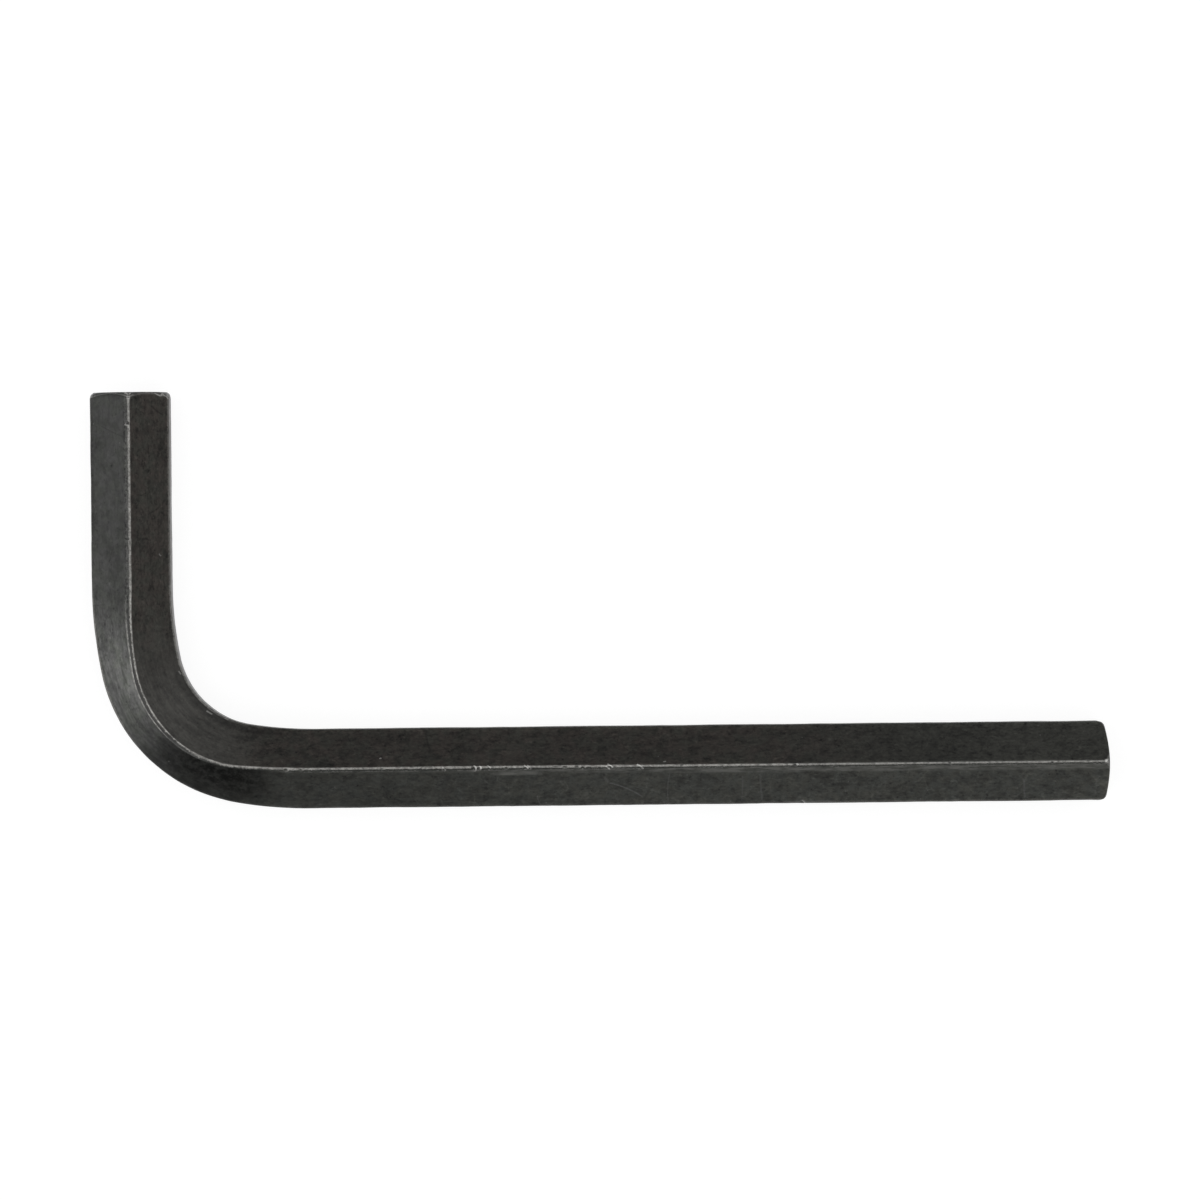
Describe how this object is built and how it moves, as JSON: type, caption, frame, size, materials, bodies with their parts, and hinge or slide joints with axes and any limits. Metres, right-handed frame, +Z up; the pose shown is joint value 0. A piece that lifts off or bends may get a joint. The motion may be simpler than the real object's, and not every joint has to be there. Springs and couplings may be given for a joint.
{
  "type": "hex key",
  "caption": "L-shaped key bent from black hexagonal steel bar, with a short arm and a long arm, for turning screws that have a hexagon socket.",
  "frame": {"origin": "middle of the L's outline, on the surface that the key lies on with one ridge down", "axes": "+X along the long arm towards its tip, +Y along the short arm towards its tip, +Z up from the surface"},
  "size_m": [0.1024, 0.0422, 0.0091],
  "materials": {
    "bar": "black oxide over drawn steel, worn bright along the ridges"
  },
  "bodies": {
    "root": {"hex_key": "bar"}
  },
  "joints": []
}
